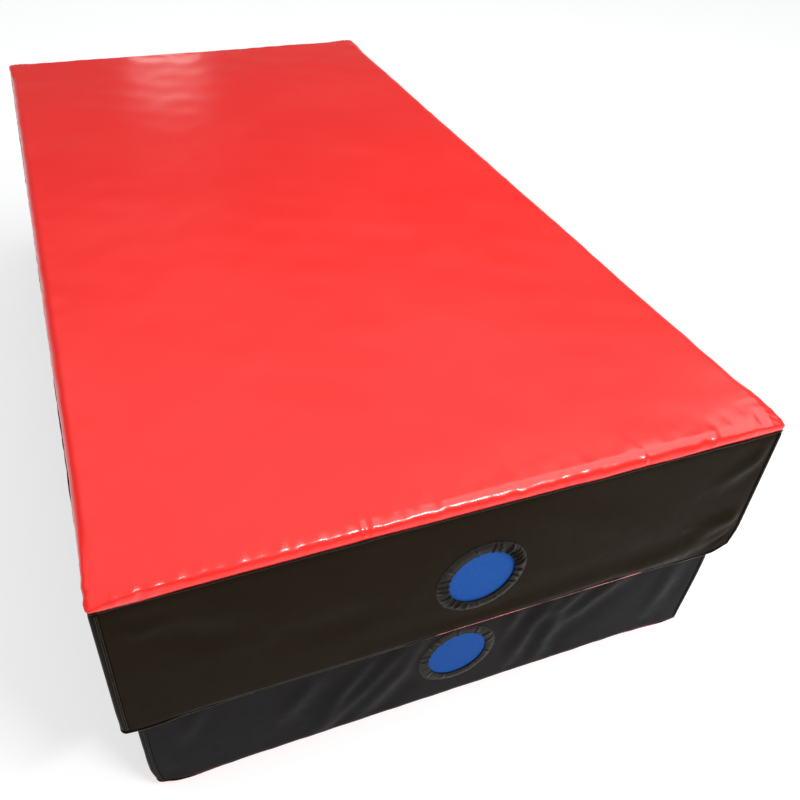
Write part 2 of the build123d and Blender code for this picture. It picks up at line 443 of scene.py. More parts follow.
def top_edges(mat, points):
    """For each top edge: its name, the place along it, and how far over the edge from the seam."""
    up = points[:, 2] - mat.seam_height(points)
    yield "front", points[:, 0], up + mat.half_length + points[:, 1]
    yield "back", points[:, 0], up + mat.half_length - points[:, 1]
    yield "left", points[:, 1], up + mat.half_width + points[:, 0]
    yield "right", points[:, 1], up + mat.half_width - points[:, 0]


def top_relief(mat, points):
    """How far the top sheet stands out from the plain rounded form."""
    seed = {"upper": 11, "lower": 31}[mat.name]
    x, y = points[:, 0], points[:, 1]
    height = 0.0008 * ripple(x, y, 0.42, seed) + 0.0003 * ripple(x, y, 0.13, seed + 1)
    for number, (edge, along, above) in enumerate(top_edges(mat, points)):
        puckers = scattered_puckers(seed + 5 + number, 500 if edge in ("front", "back") else 960)
        if mat.name == "upper" and edge == "front":
            puckers = FRONT_PUCKERS
        near = above < 0.2
        from_seam = 1 - np.exp(-((np.maximum(above, 0) / 0.007) ** 2))
        fade = np.where(near, from_seam * np.exp(-((above / 0.055) ** 2)), 0)
        height += fade * 0.0005 * ripple(along, above * 0.4, 0.060, seed + 20 + number)
        edge_wave = 0.0008 if edge == "front" else 0.0002
        height += fade * edge_wave * ripple(along, above * 0.5, 0.024, seed + 30 + number)
        for place, width, tall, reach in puckers:
            place, width, tall, reach = place / 1000, width / 1000, tall / 1000, reach / 1000
            lean = 0.15 * math.sin(place * 37.0)
            across = along - place - lean * above
            spread = width * (0.6 + 0.5 * np.clip(above / reach, 0, 2))
            shape = bump(across, spread) - 0.7 * bump(across - 1.7 * spread, spread)
            height += np.where(near, from_seam * shape * tall * np.exp(-((above / reach) ** 2)), 0)
    return height + corner_relief(mat, points, seed) + seam_groove(mat, points)


def corner_relief(mat, points, seed):
    """The small gathers where the top sheet turns its four corners."""
    source = np.random.default_rng(seed + 50)
    above = np.maximum(points[:, 2] - mat.seam_height(points), 0)
    height = np.zeros(len(points))
    for side, end in CORNERS:
        first = points[:, 0] * side - (mat.half_width - 0.050)
        second = points[:, 1] * end - (mat.half_length - 0.050)
        inside = (first > 0.008) & (second > 0.008)
        angle = np.arctan2(second, np.maximum(first, 1e-6))
        reach = np.hypot(first, second)
        fade = np.clip(above / 0.004, 0, 1) * smooth_step((reach - 0.022) / 0.028)
        for place in np.radians([20, 35, 54, 68]) + source.uniform(-0.05, 0.05, 4):
            tall = source.uniform(0.0004, 0.0010)
            height += np.where(inside, tall * fade * bump((angle - place) * reach, 0.0028), 0)
    return height


def seam_groove(mat, points):
    """How far the cloth draws in where the top sheet and the side walls are sewn together."""
    return -SEAM_GROOVE * bump(points[:, 2] - mat.seam_height(points), 0.006)


def bottom_rise(mat, x, y):
    """How far up the side wall of the sharp box the bottom seam wanders."""
    front = np.clip(-(y + mat.half_length - 0.25) / 0.25, 0, 1)
    if mat.name == "lower":
        by_corner = np.abs(x + mat.half_width) + np.abs(y + mat.half_length)
        shown = 0.013 * np.exp(-((by_corner / 0.045) ** 2))
        return np.maximum(-0.0020, 0.004 + 0.0012 * ripple(x, y, 0.30, 6) - 0.007 * front + shown)
    right_part = np.clip((x + 0.10) / 0.06, 0, 1) * np.clip((0.42 - x) / 0.10, 0, 1)
    return np.maximum(0.0015, 0.004 + 0.0008 * ripple(x, y, 0.30, 5) + 0.0124 * front * right_part)


# ---- Cloth simulation of the side walls ----------------------------------------------------------


def on_sharp_box(mat, x):
    """The place across an end wall of the sharp box that comes out at x on the rounded one."""
    inside = mat.half_width - CORNER_RADIUS
    if x <= inside:
        return x
    return inside + CORNER_RADIUS * math.tan(math.asin(min(0.707, (x - inside) / CORNER_RADIUS)))


def corner_seam_sharp(mat):
    """Where a corner seam runs on the sharp box, from the mat's middle."""
    return on_sharp_box(mat, mat.corner_seam_x)


def wall_lattice(mat, step):
    """The x, y and z lattices of the side walls, with lines on every seam."""
    seam = corner_seam_sharp(mat)
    xs = edged(-mat.half_width, mat.half_width, step, CORNER_RADIUS, 4)
    xs = xs[np.abs(np.abs(xs) - seam) > 0.0016]
    xs = np.sort(np.concatenate([xs, [-seam, seam]]))
    ys = edged(-mat.half_length, mat.half_length, step, CORNER_RADIUS, 4)
    zs = joined(
        BOTTOM_EDGE_RADIUS - edge_zone(BOTTOM_EDGE_RADIUS, 4)[::-1],
        spaced(BOTTOM_EDGE_RADIUS, ZIP_GAP_LOW, step),
        spaced(ZIP_GAP_LOW, ZIP_GAP_HIGH, step),
        spaced(ZIP_GAP_HIGH, mat.top_seam, step),
    )
    return xs, ys, zs


CLOTH_SETTINGS = {
    "quality": 7,
    "mass": 0.25,
    "tension_stiffness": 60,
    "compression_stiffness": 60,
    "shear_stiffness": 30,
    "bending_stiffness": 6,
    "tension_damping": 15,
    "compression_damping": 15,
    "shear_damping": 15,
    "air_damping": 3,
}
CLOTH_FRAMES = 36
WALL_SLACK = {"upper": 0.006, "lower": 0.010}
WALL_SHEAR = {"upper": -0.003, "lower": 0.009}


def cut_shape(mat, points):
    """The walls as cut: a little larger than the foam, and sewn on with the top seam drawn along."""
    slack, shear = WALL_SLACK[mat.name], WALL_SHEAR[mat.name]
    cut = points * (1 + slack)
    share = points[:, 2] / mat.height
    cut[:, 0] += shear * share * np.sign(points[:, 1])
    cut[:, 1] -= shear * share * np.sign(points[:, 0])
    return cut


def wall_pins(mat, sharp):
    """Which points of the walls are held: those sewn down, and those by the vent and the zip."""
    x, y, z = sharp.T
    at_front = y < -mat.half_length + 1e-6
    at_back = y > mat.half_length - 1e-6
    at_hems = (z <= 1e-6) | (z >= mat.top_seam - 1e-6)
    by_corner_seam = (at_front | at_back) & (np.abs(x) > mat.corner_seam_x - 0.009)
    by_vent = at_front & (np.hypot(x - mat.vent[0], z - mat.vent[2]) < mat.vent_radius + 0.006)
    by_zip = at_back & (z > ZIP_GAP_LOW - 0.013) & (z < ZIP_GAP_HIGH + 0.013)
    return at_hems | by_corner_seam | by_vent | by_zip


def settled_walls(mat, points, faces, held):
    """Runs Cloth on the walls over the foam block, and returns where they settle."""
    walls = make_object(f"{mat.name}_walls_cloth", points, faces, plain_material, mat)
    walls.shape_key_add(name="Basis")
    cut = walls.shape_key_add(name="Cut")
    cut.data.foreach_set("co", (cut_shape(mat, points) + mat.place).ravel())
    group = walls.vertex_groups.new(name="held")
    group.add(np.flatnonzero(held).tolist(), 1.0, "REPLACE")
    cloth = walls.modifiers.new("Cloth", "CLOTH")
    for name, value in CLOTH_SETTINGS.items():
        setattr(cloth.settings, name, value)
    cloth.settings.vertex_group_mass = group.name
    cloth.settings.rest_shape_key = cut
    cloth.collision_settings.distance_min = 0.001
    cloth.collision_settings.use_self_collision = False
    foam_lattice = [edged(mat.low[axis], mat.high[axis], 0.05, BOTTOM_EDGE_RADIUS, 3) for axis in range(3)]
    foam_points, foam_faces = box_skin(foam_lattice, SIDES)
    foam_points = mat.rounded(foam_points, -0.0035)
    foam = make_object(f"{mat.name}_foam_collider", foam_points, foam_faces, plain_material, mat)
    foam.modifiers.new("Collision", "COLLISION")
    foam.collision.thickness_outer = 0.001
    for number in range(1, CLOTH_FRAMES + 1):
        bpy.context.scene.frame_set(number)
    mesh = evaluated(walls)
    settled = mesh_points(mesh) - mat.place
    bpy.context.scene.frame_set(1)
    for helper in (walls, foam):
        bpy.data.objects.remove(helper)
    bpy.data.meshes.remove(mesh)
    return settled


MOST_OUT = 0.012
MOST_IN = 0.003


def capped(mat, flat, settled):
    """Keeps the settled cloth within a few millimetres of the foam's face."""
    normal = mat.outward(flat)
    moved = settled - flat
    out = (moved * normal).sum(axis=1, keepdims=True)
    across = moved - out * normal
    return flat + across + np.clip(out, -MOST_IN, MOST_OUT) * normal


WALL_NAMES = ("front_panel", "left_panel", "right_panel", "back_panel_low", "back_panel_high")


def wall_labels(mat, sharp, faces):
    """Which panel each face of the walls belongs to, as an index into WALL_NAMES. 5 is the zip's gap."""
    x, y, z = sharp[faces].mean(axis=1).T
    between = np.abs(x) < corner_seam_sharp(mat)
    at_back = between & (y > mat.half_length - 1e-6)
    labels = np.where(x < 0, 1, 2)
    labels[between & (y < -mat.half_length + 1e-6)] = 0
    labels[at_back & (z < ZIP_GAP_LOW)] = 3
    labels[at_back & (z > ZIP_GAP_HIGH)] = 4
    labels[at_back & (z > ZIP_GAP_LOW) & (z < ZIP_GAP_HIGH)] = 5
    return labels


def side_walls(mat):
    """Points, faces and labels of all the side walls, settled, subdivided and with the photo's folds."""
    sharp, faces = box_skin(wall_lattice(mat, 0.012), WALLS)
    labels = wall_labels(mat, sharp, faces)
    held = wall_pins(mat, sharp)
    rise = bottom_rise(mat, sharp[:, 0], sharp[:, 1])
    climb = mat.seam_height(sharp) - mat.top_seam
    low_share = np.clip(1 - sharp[:, 2] / 0.06, 0, 1)
    high_share = np.clip(1 - (mat.top_seam - sharp[:, 2]) / 0.06, 0, 1)
    sharp[:, 2] += rise * low_share + climb * high_share
    flat = mat.rounded(sharp)
    settled = flat
    settled = capped(mat, flat, settled_walls(mat, flat, faces, held))
    points, faces, labels = subdivided(settled, faces, labels)
    return points + wall_relief(mat, points)[:, None] * mat.outward(points), faces, labels


def scattered_folds(seed, reach, lowest, highest, tall):
    """Soft slanting folds on a side that the photo doesn't show, in the same form as UPPER_FRONT_FOLDS."""
    source = np.random.default_rng(seed)
    folds = []
    for place in np.arange(-reach, reach, 105.0):
        place = place + source.uniform(-40, 40)
        slant = source.uniform(-90, 90)
        top = highest - source.uniform(0, 0.35) * (highest - lowest)
        bottom = lowest + source.uniform(0, 0.4) * (highest - lowest)
        middle = (place + slant * 0.5 + source.uniform(-15, 15), 0.5 * (top + bottom))
        height = tall * source.uniform(0.25, 1.0) * source.choice([-0.6, 1.0])
        folds.append((source.uniform(0.012, 0.026), height, (place, top), middle, (place + slant, bottom)))
    return folds


def wall_relief(mat, points):
    """How far the folds of the side walls stand out."""
    normal = mat.outward(points)
    x, y, z = points.T
    front, seed, tall = {
        "upper": (UPPER_FRONT_FOLDS, 201, 0.0034),
        "lower": (LOWER_FRONT_FOLDS, 211, 0.0052),
    }[mat.name]
    from_seams = np.clip((mat.corner_seam_x - 0.006 - np.abs(x)) / 0.02, 0, 1)
    from_vent = np.hypot(x - mat.vent[0], z - mat.vent[2]) - mat.vent_radius
    by_vent = from_seams * np.clip(from_vent / 0.02, 0, 1)
    by_zip = from_seams * np.clip((np.abs(z - ZIP_MIDDLE) - 0.030) / 0.015, 0, 1)
    above_zip = scattered_folds(seed, 460, 178, 270, 0.5 * tall)
    below_zip = scattered_folds(seed + 1, 460, 24, 118, 0.5 * tall)
    level = np.ones(len(points))
    sides = (
        (front, x, -normal[:, 1], by_vent),
        (above_zip + below_zip, x, normal[:, 1], by_zip),
        (scattered_folds(seed + 2, 940, 30, 262, tall), y, normal[:, 0], level),
        (scattered_folds(seed + 3, 940, 30, 262, tall), y, -normal[:, 0], level),
    )
    height = np.zeros(len(points))
    for folds, along, facing, clear in sides:
        on = np.flatnonzero(facing > 0.05)
        side_height = sum(fold_height(along[on], z[on], fold) for fold in folds)
        height[on] += side_height * facing[on] ** 2 * clear[on]
    from_hems = np.clip((mat.top_seam - z) / 0.012, 0, 1) * np.clip((z - 0.006) / 0.024, 0, 1)
    return height * from_hems + seam_groove(mat, points)


def with_vent_hole(mat, points, faces, radius):
    """The front panel with a clean round hole for the vent."""
    from_vent = np.hypot(points[:, 0] - mat.vent[0], points[:, 2] - mat.vent[2])
    points, faces = compact(points, faces[from_vent[faces].mean(axis=1) > radius])
    offset = points[:, [0, 2]] - mat.vent[[0, 2]]
    distance = np.linalg.norm(offset, axis=1)
    edges = np.sort(np.stack([faces, np.roll(faces, -1, axis=1)], axis=-1).reshape(-1, 2), axis=1)
    edges, uses = np.unique(edges, axis=0, return_counts=True)
    rim = np.unique(edges[uses == 1])
    rim = rim[distance[rim] < radius + 0.015]
    points[np.ix_(rim, [0, 2])] = mat.vent[[0, 2]] + offset[rim] / distance[rim, None] * radius
    return points, faces


# ---- Materials -----------------------------------------------------------------------------------


MATERIALS = {}


class Nodes:
    """A node material under construction. It is kept in MATERIALS by its name."""

    def __init__(self, name, **settings):
        MATERIALS[name] = bpy.data.materials.new(name)
        MATERIALS[name].use_nodes = True
        self.tree = MATERIALS[name].node_tree
        self.shader = self.tree.nodes["Principled BSDF"]
        self.place = self.tree.nodes.new("ShaderNodeTexCoord").outputs["Object"]
        for socket, value in settings.items():
            self.shader.inputs[socket.replace("_", " ")].default_value = value

    def add(self, kind, links=None, **values):
        node = self.tree.nodes.new(kind)
        for name, value in values.items():
            if name in node.inputs:
                node.inputs[name].default_value = value
            else:
                setattr(node, name, value)
        for name, source in (links or {}).items():
            self.tree.links.new(source, node.inputs[name])
        return node

    def noise(self, scale, detail=3.0, roughness=0.5):
        values = {"Scale": scale, "Detail": detail, "Roughness": roughness}
        return self.add("ShaderNodeTexNoise", {"Vector": self.place}, **values).outputs["Fac"]

    def cells(self, scale, feature="F1"):
        node = self.add("ShaderNodeTexVoronoi", {"Vector": self.place}, feature=feature, Scale=scale)
        return node.outputs["Distance"]

    def math(self, operation, first, second=0.0):
        node = self.add("ShaderNodeMath", operation=operation)
        for socket, value in zip(node.inputs, (first, second)):
            if isinstance(value, (int, float)):
                socket.default_value = value
            else:
                self.tree.links.new(value, socket)
        return node.outputs[0]

    def mapped(self, source, low, high, to_low, to_high):
        node = self.add("ShaderNodeMapRange", {"Value": source})
        for name, value in (("From Min", low), ("From Max", high), ("To Min", to_low), ("To Max", to_high)):
            node.inputs[name].default_value = value
        return node.outputs["Result"]

    def mixed(self, factor, first, second):
        node = self.add("ShaderNodeMix", data_type="RGBA")
        self.tree.links.new(factor, node.inputs["Factor"])
        for socket, value in ((node.inputs[6], first), (node.inputs[7], second)):
            if isinstance(value, tuple):
                socket.default_value = (*value, 1.0)
            else:
                self.tree.links.new(value, socket)
        return node.outputs[2]

    def speckle(self, scale, detail, low, high):
        """A fine unevenness from low to high."""
        return self.mapped(self.noise(scale, detail), 0.3, 0.7, low, high)

    def tones(self, scale, detail, dark, light):
        """A slow drift between two colours."""
        return self.mixed(self.noise(scale, detail), dark, light)

    def threads(self, pitch):
        """A square weave in the plane of whichever face it is on."""
        split = self.add("ShaderNodeSeparateXYZ", {"Vector": self.place})
        number = 2 * math.pi / pitch
        waves = [self.math("SINE", self.math("MULTIPLY", axis, number)) for axis in split.outputs]
        return self.math("ADD", self.math("ADD", waves[0], waves[1]), waves[2])

    def colour(self, source):
        self.tree.links.new(source, self.shader.inputs["Base Color"])

    def roughness(self, source):
        self.tree.links.new(source, self.shader.inputs["Roughness"])

    def bumps(self, *layers):
        """Stacks bump maps, each a height source with its strength and depth in metres."""
        last = None
        for source, strength, depth in layers:
            node = self.add("ShaderNodeBump", {"Height": source}, Strength=strength, Distance=depth)
            if last is not None:
                self.tree.links.new(last, node.inputs["Normal"])
            last = node.outputs["Normal"]
        self.tree.links.new(last, self.shader.inputs["Normal"])


def red_vinyl():
    m = Nodes("red_vinyl", Specular_IOR_Level=0.40, Coat_Weight=0.15, Coat_Roughness=0.09)
    worn = m.mapped(m.noise(5.0, 3, 0.5), 0.45, 0.85, 0.0, 1.0)
    base = m.tones(2.2, 3, (0.76, 0.016, 0.013), (0.84, 0.024, 0.019))
    m.colour(m.mixed(m.math("MULTIPLY", worn, 0.30), base, (0.80, 0.038, 0.030)))
    m.roughness(m.math("ADD", m.speckle(38.0, 4, 0.20, 0.24), m.math("MULTIPLY", worn, 0.04)))
    m.bumps(
        (m.noise(14.0, 2), 0.12, 0.0012),
        (m.cells(330.0, "SMOOTH_F1"), 0.03, 0.0003),
        (m.threads(0.0016), 0.02, 0.0001),
    )


def black_vinyl(name, dark, light):
    m = Nodes(name, Specular_IOR_Level=0.022)
    base = m.tones(3.0, 4, dark, light)
    dust = m.mapped(m.noise(7.0, 5, 0.6), 0.50, 0.80, 0.0, 1.0)
    m.colour(m.mixed(m.math("MULTIPLY", dust, 0.20), base, (0.020, 0.017, 0.014)))
    m.roughness(m.speckle(60.0, 4, 0.32, 0.44))
    m.bumps(
        (m.noise(22.0, 3), 0.35, 0.0016),
        (m.cells(520.0, "SMOOTH_F1"), 0.25, 0.0004),
        (m.noise(900.0, 2), 0.12, 0.0002),
    )


def blue_mesh():
    m = Nodes("blue_mesh", Specular_IOR_Level=0.08)
    split = m.add("ShaderNodeSeparateXYZ", {"Vector": m.place})
    pitch = 0.0021
    number = 2 * math.pi / pitch
    across, up = split.outputs[0], split.outputs[2]
    rows = []
    for heading in (0, 60, 120):
        first = m.math("MULTIPLY", across, number * math.cos(math.radians(heading)))
        second = m.math("MULTIPLY", up, number * math.sin(math.radians(heading)))
        rows.append(m.math("COSINE", m.math("ADD", first, second)))
    net = m.math("ADD", m.math("ADD", rows[0], rows[1]), rows[2])
    # The mesh's holes are painted a darker blue: painted shade for the shaded inside of the mat seen through
    # them.
    hole = m.mapped(net, 0.2, 2.2, 0.0, 1.0)
    thread = m.tones(60.0, 3, (0.009, 0.074, 0.320), (0.013, 0.087, 0.365))
    m.colour(m.mixed(m.math("MULTIPLY", hole, 0.55), thread, (0.004, 0.031, 0.138)))
    m.roughness(m.speckle(300.0, 2, 0.60, 0.78))
    m.bumps((m.math("MULTIPLY", net, -1.0), 0.35, 0.0003))


def zip_tape():
    m = Nodes("zip_tape", Specular_IOR_Level=0.2, Sheen_Weight=0.15)
    weave = m.threads(0.0007)
    m.colour(m.mixed(m.mapped(weave, -1.6, 1.6, 0.0, 1.0), (0.006, 0.006, 0.0065), (0.026, 0.026, 0.028)))
    m.roughness(m.speckle(150.0, 2, 0.75, 0.90))
    m.bumps((weave, 0.6, 0.00015))


def zip_metal():
    m = Nodes("zip_metal", Specular_IOR_Level=0.5, Metallic=0.35)
    rubbed = m.mapped(m.noise(240.0, 5, 0.65), 0.54, 0.72, 0.0, 1.0)
    m.colour(m.mixed(rubbed, (0.022, 0.022, 0.024), (0.075, 0.073, 0.070)))
    m.roughness(m.speckle(500.0, 3, 0.26, 0.42))
    m.bumps((m.noise(900.0, 2), 0.15, 0.0002))


def studio_floor():
    m = Nodes("studio_floor", Specular_IOR_Level=0.1, Roughness=0.9)
    m.colour(m.tones(0.8, 2, (0.50, 0.50, 0.50), (0.53, 0.53, 0.53)))
    m.shader.inputs["Emission Color"].default_value = (1.0, 1.0, 1.0, 1.0)
    m.shader.inputs["Emission Strength"].default_value = 0.57


def plain(name, specular, tones, speckle, *layers):
    """Two tones, speckled roughness, and bumps as (source, its settings, strength, depth)."""
    m = Nodes(name, Specular_IOR_Level=specular)
    m.colour(m.tones(*tones))
    m.roughness(m.speckle(*speckle))
    m.bumps(*((getattr(m, kind)(*values), strength, depth) for kind, values, strength, depth in layers))


plain_material = bpy.data.materials.new("simulation_only")
red_vinyl()
black_vinyl("black_vinyl", (0.0090, 0.0047, 0.0012), (0.0135, 0.0080, 0.0035))
black_vinyl("black_vinyl_lower", (0.0090, 0.0084, 0.0084), (0.0135, 0.0125, 0.0126))
blue_mesh()
zip_tape()
zip_metal()
studio_floor()
plain(
    "black_binding", 0.09, (30.0, 4, (0.0045, 0.0028, 0.0014), (0.0085, 0.0062, 0.0042)),
    (90.0, 3, 0.20, 0.34), ("noise", (160.0, 3), 0.3, 0.0006),
    ("cells", (900.0, "SMOOTH_F1"), 0.15, 0.0002),
)
plain(
    "black_thread", 0.4, (200.0, 3, (0.006, 0.005, 0.004), (0.020, 0.018, 0.016)),
    (500.0, 2, 0.45, 0.65), ("threads", (0.0005,), 0.4, 0.0001),
)
plain(
    "foam", 0.15, (6.0, 4, (0.66, 0.58, 0.40), (0.76, 0.70, 0.54)),
    (80.0, 2, 0.85, 0.97), ("cells", (700.0,), 0.8, 0.0006), ("noise", (40.0, 3), 0.3, 0.001),
)
plain(
    "zip_teeth", 0.45, (120.0, 3, (0.012, 0.012, 0.013), (0.028, 0.028, 0.030)),
    (400.0, 2, 0.28, 0.42), ("noise", (700.0, 2), 0.2, 0.0002),
)


# ---- Pieces --------------------------------------------------------------------------------------


def add_piece(mat, node, points, faces, look, slot, form="cloth", thick=False):
    """A piece in its mat's settled form, on the mat's body, in place of the CAD node. The slot argument is
    not used.
    """
    settled = mat.settled_form(points.reshape(-1, 3))
    piece = make_object(f"{mat.name}_{node}_{form}", settled, faces, MATERIALS[look], mat)
    if thick:
        thicken(piece)
    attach(piece, f"{mat.name}_mat")
    if form != "stitches":
        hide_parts(f"{mat.name}_{node}")
    return piece


def wall_look(mat):
    """The lower mat's side walls are of a slightly cooler black."""
    return "black_vinyl" if mat.name == "upper" else "black_vinyl_lower"


def add_walls(mat):
    """The front, side and back panels."""
    points, faces, labels = side_walls(mat)
    front = 2 * mat.corner_seam_x + 0.006
    side = 2 * mat.half_length + 2 * (mat.half_width - mat.corner_seam_x)
    tall = mat.height - 0.026
    back = (front, ZIP_GAP_LOW - 0.004), (front, mat.top_seam - ZIP_GAP_HIGH)
    flats = ((front, tall), (side, tall), (side, tall), *back)
    for label, (node, flat) in enumerate(zip(WALL_NAMES, flats)):
        panel = compact(points, faces[labels == label])
        if node == "front_panel":
            panel = with_vent_hole(mat, *panel, VENT_HOLE_RADIUS)
        piece = add_piece(mat, node, *panel, wall_look(mat), "black_vinyl", thick=True)


def with_corner_lines(lattice, half):
    """A lattice with the lines that the tight upright corners need."""
    at_corners = edged(-half, half, half, CORNER_RADIUS, 4)
    return thinned(np.sort(np.concatenate([lattice, at_corners])), 0.0011)


def add_top_sheet(mat):
    """The red top sheet, rolled over the edges down to the top seam. The upper mat's is the finer."""
    step = 0.0056 if mat.name == "upper" else 0.012
    xs = edged(-mat.half_width, mat.half_width, step, TOP_EDGE_RADIUS, 7)
    xs = with_corner_lines(xs, mat.half_width)
    if mat.name == "upper":
        across = np.linspace(-1.5, 3.0, 8)
        places = [place / 1000 + width / 1000 * across for place, width, _, _ in FRONT_PUCKERS]
        xs = thinned(np.sort(np.concatenate([xs, *places])), 0.0016)
    ys = edged(-mat.half_length, mat.half_length, 0.014, TOP_EDGE_RADIUS, 7)
    inner = mat.half_length - TOP_EDGE_RADIUS
    near = inner - 0.070
    runs = (spaced(-inner, -near, step * 0.6), spaced(-near, near, 0.014), spaced(near, inner, step))
    ys = with_corner_lines(joined(ys[ys <= -inner], *runs, ys[ys >= inner]), mat.half_length)
    zs = mat.height - TOP_EDGE_RADIUS + edge_zone(TOP_EDGE_RADIUS, 7)
    sharp, faces = box_skin((xs, ys, zs), (*WALLS, "top"))
    share = (sharp[:, 2] - zs[0]) / (zs[-1] - zs[0])
    seam = mat.seam_height(sharp)
    sharp[:, 2] = seam + share * (mat.height - seam)
    points = mat.rounded(sharp)
    points += top_relief(mat, points)[:, None] * mat.outward(points)
    piece = add_piece(mat, "top_sheet", points, faces, "red_vinyl", "red_vinyl", thick=True)


def add_bottom_sheet(mat):
    """The red bottom sheet, turned up to the bottom seam."""
    xs = edged(-mat.half_width, mat.half_width, 0.012, BOTTOM_EDGE_RADIUS, 5)
    ys = edged(-mat.half_length, mat.half_length, 0.018, BOTTOM_EDGE_RADIUS, 5)
    sharp, faces = box_skin((xs, ys, np.array([0.0, 0.5, 1.0])), (*WALLS, "bottom"))
    sharp[:, 2] *= bottom_rise(mat, sharp[:, 0], sharp[:, 1])
    points = mat.rounded(sharp)
    level = mat.outward(points)[:, 2] < -0.999
    points[:, 2] += np.where(level, 0.0006 * ripple(points[:, 0], points[:, 1], 0.25, 44) + 0.0008, 0)
    piece = add_piece(mat, "bottom_sheet", points, faces, "red_vinyl", "red_vinyl", thick=True)


def seam_loop(mat, step):
    """Points on the sharp box once round the mat at height 0."""
    xs = edged(-mat.half_width, mat.half_width, step, CORNER_RADIUS, 6)
    ys = edged(-mat.half_length, mat.half_length, step, CORNER_RADIUS, 6)
    front, right = points_at(xs, ys[0], 0.0)[:-1], points_at(xs[-1], ys, 0.0)[:-1]
    back, left = points_at(xs[::-1], ys[-1], 0.0)[:-1], points_at(xs[0], ys[::-1], 0.0)[:-1]
    return np.concatenate([front, right, back, left])


def add_welt(mat, node, heights):
    """A bound seam all round the mat. heights is the seam's height on the sharp box, per point."""
    loop = seam_loop(mat, 0.005)
    sharp = loop + points_at(0.0, 0.0, heights(loop))
    base = mat.rounded(sharp)
    normal = mat.outward(sharp)
    tangent = np.roll(base, -1, axis=0) - np.roll(base, 1, axis=0)
    tangent /= np.linalg.norm(tangent, axis=1, keepdims=True)
    upward = np.cross(normal, tangent)
    upward *= np.sign(upward[:, 2:3])
    if node == "top_welt":
        base = base + seam_groove(mat, base)[:, None] * normal
    seed = 60 + len(mat.name + node)
    proud = WELT_PROUD * (1 + 0.30 * ripple(base[:, 0], base[:, 1], 0.05, seed))
    wander = 0.0005 * ripple(base[:, 0], base[:, 1], 0.08, seed + 1)
    turns = around(12)
    outs = np.abs(np.cos(turns)) ** 0.7 * np.sign(np.cos(turns)) * 0.5 + 0.35
    ups = np.abs(np.sin(turns)) ** 0.7 * np.sign(np.sin(turns)) * 0.5 * mat.welt_height
    out = (proud[:, None] * outs)[..., None] * normal[:, None, :]
    up = (ups + wander[:, None])[..., None] * upward[:, None, :]
    faces = grid_faces(len(base), len(turns), wrap_rows=True, wrap_columns=True)
    add_piece(mat, node, base[:, None, :] + out + up, faces, "black_binding", "black_binding", "binding")


# A stitch: places along it with its thickness there, its length and radius, and the step between stitches
STITCH_RINGS = ((-0.50, 0.30), (-0.42, 0.75), (-0.15, 1.0), (0.15, 1.0), (0.42, 0.75), (0.50, 0.30))
STITCH_LENGTH = 0.0036
STITCH_RADIUS = 0.00042
STITCH_STEP = 0.0045
ALONG_X, ALONG_Z = (1.0, 0.0, 0.0), (0.0, 0.0, 1.0)
TO_FRONT, TO_BACK = (0.0, -1.0, 0.0), (0.0, 1.0, 0.0)


def stitch_shape():
    """One stitch along X, with its ends sunk in the cloth below it."""
    turns = around(6)
    points = [
        (place * STITCH_LENGTH, np.cos(turn) * size * STITCH_RADIUS,
         (np.sin(turn) * size - 1.2 * place**2) * STITCH_RADIUS)
        for place, size in STITCH_RINGS
        for turn in turns
    ]
    last = len(points) - len(turns)
    caps = np.array([(3, 2, 1, 0), (5, 4, 3, 0), (last, last + 1, last + 2, last + 3),
                     (last, last + 3, last + 4, last + 5)])
    sides = grid_faces(len(STITCH_RINGS), len(turns), wrap_columns=True)
    return np.array(points), np.concatenate([sides, caps])


class Stitches:
    """Rows of stitches that make one piece."""

    def __init__(self):
        self.rows = []

    def row(self, centres, along, normal):
        self.rows.append(np.broadcast_arrays(centres, along, normal))

    def add_to(self, mat, name):
        centres, along, normal = (np.concatenate(parts)[:, None, :] for parts in zip(*self.rows))
        shape, faces = stitch_shape()
        lengthwise, across, up = (shape[:, axis, None] for axis in range(3))
        points = centres + along * lengthwise + np.cross(normal, along) * across + normal * up
        faces = repeated(faces, len(centres), len(shape))
        add_piece(mat, name, points, faces, "black_thread", "black_binding", "stitches")


# A lapped corner seam's outline: places across it, and how proud it is there
LAP_OUTLINE = (
    (-1.0, -0.4), (-1.0, 0.8), (-0.8, 1.0), (-0.3, 0.9), (0.3, 1.0), (0.8, 1.1), (1.0, 0.9), (1.0, -0.4),
)


def add_corner_seams(mat):
    """The four upright lapped seams where the end walls meet the side walls, with two rows of stitches."""
    low, high = 0.012, mat.top_seam - 1.2 * mat.welt_height
    heights = spaced(low, high, 0.006)
    stitch_heights = np.arange(low + 0.004, high - 0.003, STITCH_STEP)
    ends = np.array([(0, 1, 2, 3), (0, 3, 4, 7), (7, 4, 5, 6)])
    last = (len(heights) - 1) * len(LAP_OUTLINE)
    loop = grid_faces(len(heights), len(LAP_OUTLINE), wrap_columns=True)
    faces = np.concatenate([loop, ends[:, ::-1], ends + last])
    parts, stitches = [], Stitches()
    for side, end in CORNERS:

        def upright(share, heights):
            across = on_sharp_box(mat, mat.corner_seam_x + share * CORNER_SEAM_HALF_WIDTH)
            line = mat.rounded(points_at(side * across, end * mat.half_length, heights))
            return line, mat.outward(line)

        rows = []
        for share, proud in LAP_OUTLINE:
            line, normal = upright(share, heights)
            lift = proud * CORNER_SEAM_PROUD * (1 + 0.25 * ripple(heights, heights, 0.04, 70 + side + end))
            rows.append(line + lift[:, None] * normal)
        grid = np.stack(rows, axis=1)
        if side * end > 0:
            grid = grid[:, ::-1]
        parts.append((grid.reshape(-1, 3), faces))
        for share in (-0.55, 0.55):
            line, normal = upright(share, stitch_heights)
            stitches.row(line + normal * CORNER_SEAM_PROUD * 1.15, ALONG_Z, normal)
    add_piece(mat, "corner_seams", *merged(parts), wall_look(mat), "black_binding")
    stitches.add_to(mat, "corner_seams")


